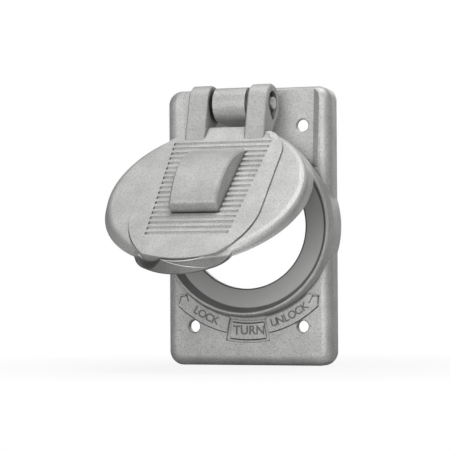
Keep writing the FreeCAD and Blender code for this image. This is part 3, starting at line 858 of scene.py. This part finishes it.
@dataclass
class Studio:
    """A pale floor, soft lamps and the camera at the photograph's angle."""

    floor_side: float = 40.0
    floor_gap: float = mm(0.25)
    floor_colour: str = "#B4B4B4"
    # How far from the middle the floor's shadow starts to fade and is gone, the white share at the
    # middle, and how far out the floor starts to show white in the metal
    shadow_reach: float = 0.06
    white_from: float = 0.17
    near_lift: float = 0.88
    backdrop_from: float = 0.3
    room_light: float = 0.05
    # How squarely a mirrored ray runs into the wall where the white backdrop begins and is full
    backdrop_cone: tuple[float, float] = (0.90, 0.97)
    lamps: tuple[Lamp, ...] = (
        Lamp("lamp_top", (0.18, -0.14, 1.12), 0.6, 10.4),
        Lamp("lamp_front", (0.20, -1.6, 0.10), 0.9, 22.8),
        Lamp("lamp_back", (-0.05, 1.5, 0.45), 0.7, 9.0),
    )
    aim: tuple[float, float, float] = (0.0, mm(-25), 0.0)
    target: tuple[float, float, float] = (mm(-13.67), mm(7.1), mm(1.10))
    distance: float = mm(870.47)
    azimuth: float = math.radians(19.94)
    elevation: float = math.radians(-1.61)
    roll: float = math.radians(-0.29)
    focal_px: float = 2050.42
    image_px: float = 450.0
    sensor_mm: float = 36.0
    clip: tuple[float, float] = (0.05, 60.0)

    def floor(self) -> None:
        """Lay a wide pale floor just below the plate."""
        deselect_all()
        height = CAD_BOX[0][2] - self.floor_gap
        bpy.ops.mesh.primitive_plane_add(size=self.floor_side, location=(0.0, 0.0, height))
        plane = bpy.context.object
        plane.name = "floor"
        apply_place(plane)
        wear(plane, self.floor_finish())

    def floor_finish(self) -> Finish:
        """Make a matt paint that stays white to the eye but keeps the shadow close to the object.

        Returns:
            The finish.
        """
        material, tree = blank_material("painted_floor_matt")
        matt = add_node(tree, "ShaderNodeBsdfDiffuse", {"Color": linear(self.floor_colour)})
        glow = add_node(tree, "ShaderNodeEmission", {"Strength": 1.0})
        point = add_node(tree, "ShaderNodeTexCoord").outputs["Object"]
        reach = add_node(tree, "ShaderNodeVectorMath", {"operation": "LENGTH"}, {0: point}).outputs["Value"]
        path = add_node(tree, "ShaderNodeLightPath")
        near = add_node(tree, "ShaderNodeMapRange",
                        {"From Min": self.shadow_reach, "From Max": self.white_from,
                         "To Min": self.near_lift, "To Max": 1.0}, {"Value": reach})
        far = add_node(tree, "ShaderNodeMapRange",
                       {"From Min": self.backdrop_from, "From Max": 2 * self.backdrop_from}, {"Value": reach})
        straight = add_node(tree, "ShaderNodeMath", {"operation": "MULTIPLY"},
                            {0: near.outputs[0], 1: path.outputs["Is Camera Ray"]})
        glimpse = add_node(tree, "ShaderNodeMath", {"operation": "MULTIPLY"},
                           {0: far.outputs[0], 1: self.mirrored_rays(tree, path)})
        share = add_node(tree, "ShaderNodeMath", {"operation": "MAXIMUM"},
                         {0: straight.outputs[0], 1: glimpse.outputs[0]})
        mix = add_node(tree, "ShaderNodeMixShader",
                       links={0: share.outputs[0], 1: matt.outputs[0], 2: glow.outputs[0]})
        add_node(tree, "ShaderNodeOutputMaterial", links={"Surface": mix.outputs[0]})
        return material

    @staticmethod
    def mirrored_rays(tree: Tree, path: bpy.types.Node) -> Socket:
        """One where a surface is seen in metal or through glass."""
        return add_node(tree, "ShaderNodeMath", {"operation": "MAXIMUM"},
                        {0: path.outputs["Is Glossy Ray"], 1: path.outputs["Is Transmission Ray"]}).outputs[0]

    def world(self) -> None:
        """Surround the object with a dim room whose backdrop is white."""
        world = bpy.data.worlds.new("studio")
        bpy.context.scene.world = world
        world.use_nodes = True
        tree = world.node_tree
        tree.nodes.clear()
        room = add_node(tree, "ShaderNodeBackground", {"Color": linear(WHITE), "Strength": self.room_light})
        backdrop = add_node(tree, "ShaderNodeBackground", {"Color": linear(WHITE), "Strength": 1.0})
        path = add_node(tree, "ShaderNodeLightPath")
        direction = add_node(tree, "ShaderNodeTexCoord").outputs["Generated"]
        into_wall = add_node(tree, "ShaderNodeSeparateXYZ", links={0: direction}).outputs["Y"]
        behind = add_node(tree, "ShaderNodeMapRange",
                          {"From Min": self.backdrop_cone[0], "From Max": self.backdrop_cone[1]},
                          {"Value": into_wall})
        in_metal = add_node(tree, "ShaderNodeMath", {"operation": "MULTIPLY"},
                            {0: self.mirrored_rays(tree, path), 1: behind.outputs[0]})
        seen = add_node(tree, "ShaderNodeMath", {"operation": "MAXIMUM"},
                        {0: path.outputs["Is Camera Ray"], 1: in_metal.outputs[0]})
        mix = add_node(tree, "ShaderNodeMixShader",
                       links={0: seen.outputs[0], 1: room.outputs[0], 2: backdrop.outputs[0]})
        add_node(tree, "ShaderNodeOutputWorld", links={"Surface": mix.outputs[0]})

    def hang(self, lamp: Lamp) -> None:
        """Hang a lamp and point it at the object.

        Args:
            lamp: Its name, place, side and power.
        """
        deselect_all()
        bpy.ops.object.light_add(type="AREA", location=lamp.place)
        light = bpy.context.object
        light.name = lamp.name
        light.data.shape = "SQUARE"
        light.data.size = lamp.side
        light.data.energy = lamp.power
        aim = Vector(self.aim) - Vector(lamp.place)
        light.rotation_mode = "QUATERNION"
        light.rotation_quaternion = aim.to_track_quat("-Z", "Y")

    def camera(self) -> None:
        """Stand the camera where the photograph was taken from."""
        level = math.cos(self.elevation)
        back = Vector((math.sin(self.azimuth) * level, -math.cos(self.azimuth) * level,
                       math.sin(self.elevation)))
        right = Vector((math.cos(self.azimuth), math.sin(self.azimuth), 0.0))
        up = back.cross(right)
        side = math.cos(self.roll) * right + math.sin(self.roll) * up
        top = -math.sin(self.roll) * right + math.cos(self.roll) * up
        deselect_all()
        bpy.ops.object.camera_add()
        camera = bpy.context.object
        camera.name = "camera"
        turn = Matrix((side, top, back)).transposed().to_4x4()
        camera.matrix_world = Matrix.Translation(Vector(self.target) + self.distance * back) @ turn
        camera.data.sensor_width = self.sensor_mm
        camera.data.lens = self.focal_px * self.sensor_mm / self.image_px
        camera.data.clip_start, camera.data.clip_end = self.clip
        bpy.context.scene.camera = camera

    def build(self) -> None:
        """Set up the camera, the floor, the room and the lamps."""
        self.camera()
        self.floor()
        self.world()
        for lamp in self.lamps:
            self.hang(lamp)
        bpy.context.scene.view_settings.view_transform = "Standard"


def main() -> None:
    """Build the studio, dress the castings and add what only the eye needs."""
    logging.basicConfig(level=logging.INFO, format="%(name)s: %(message)s")
    Studio().build()
    castings = Castings()
    castings.build()
    castings.dress()
    for trim in (Lettering(), LidTrim()):
        for piece in trim.build():
            LOG.info("%s has %d faces", piece.name, len(piece.data.polygons))
        trim.dress()


if __name__ == "__main__":
    main()
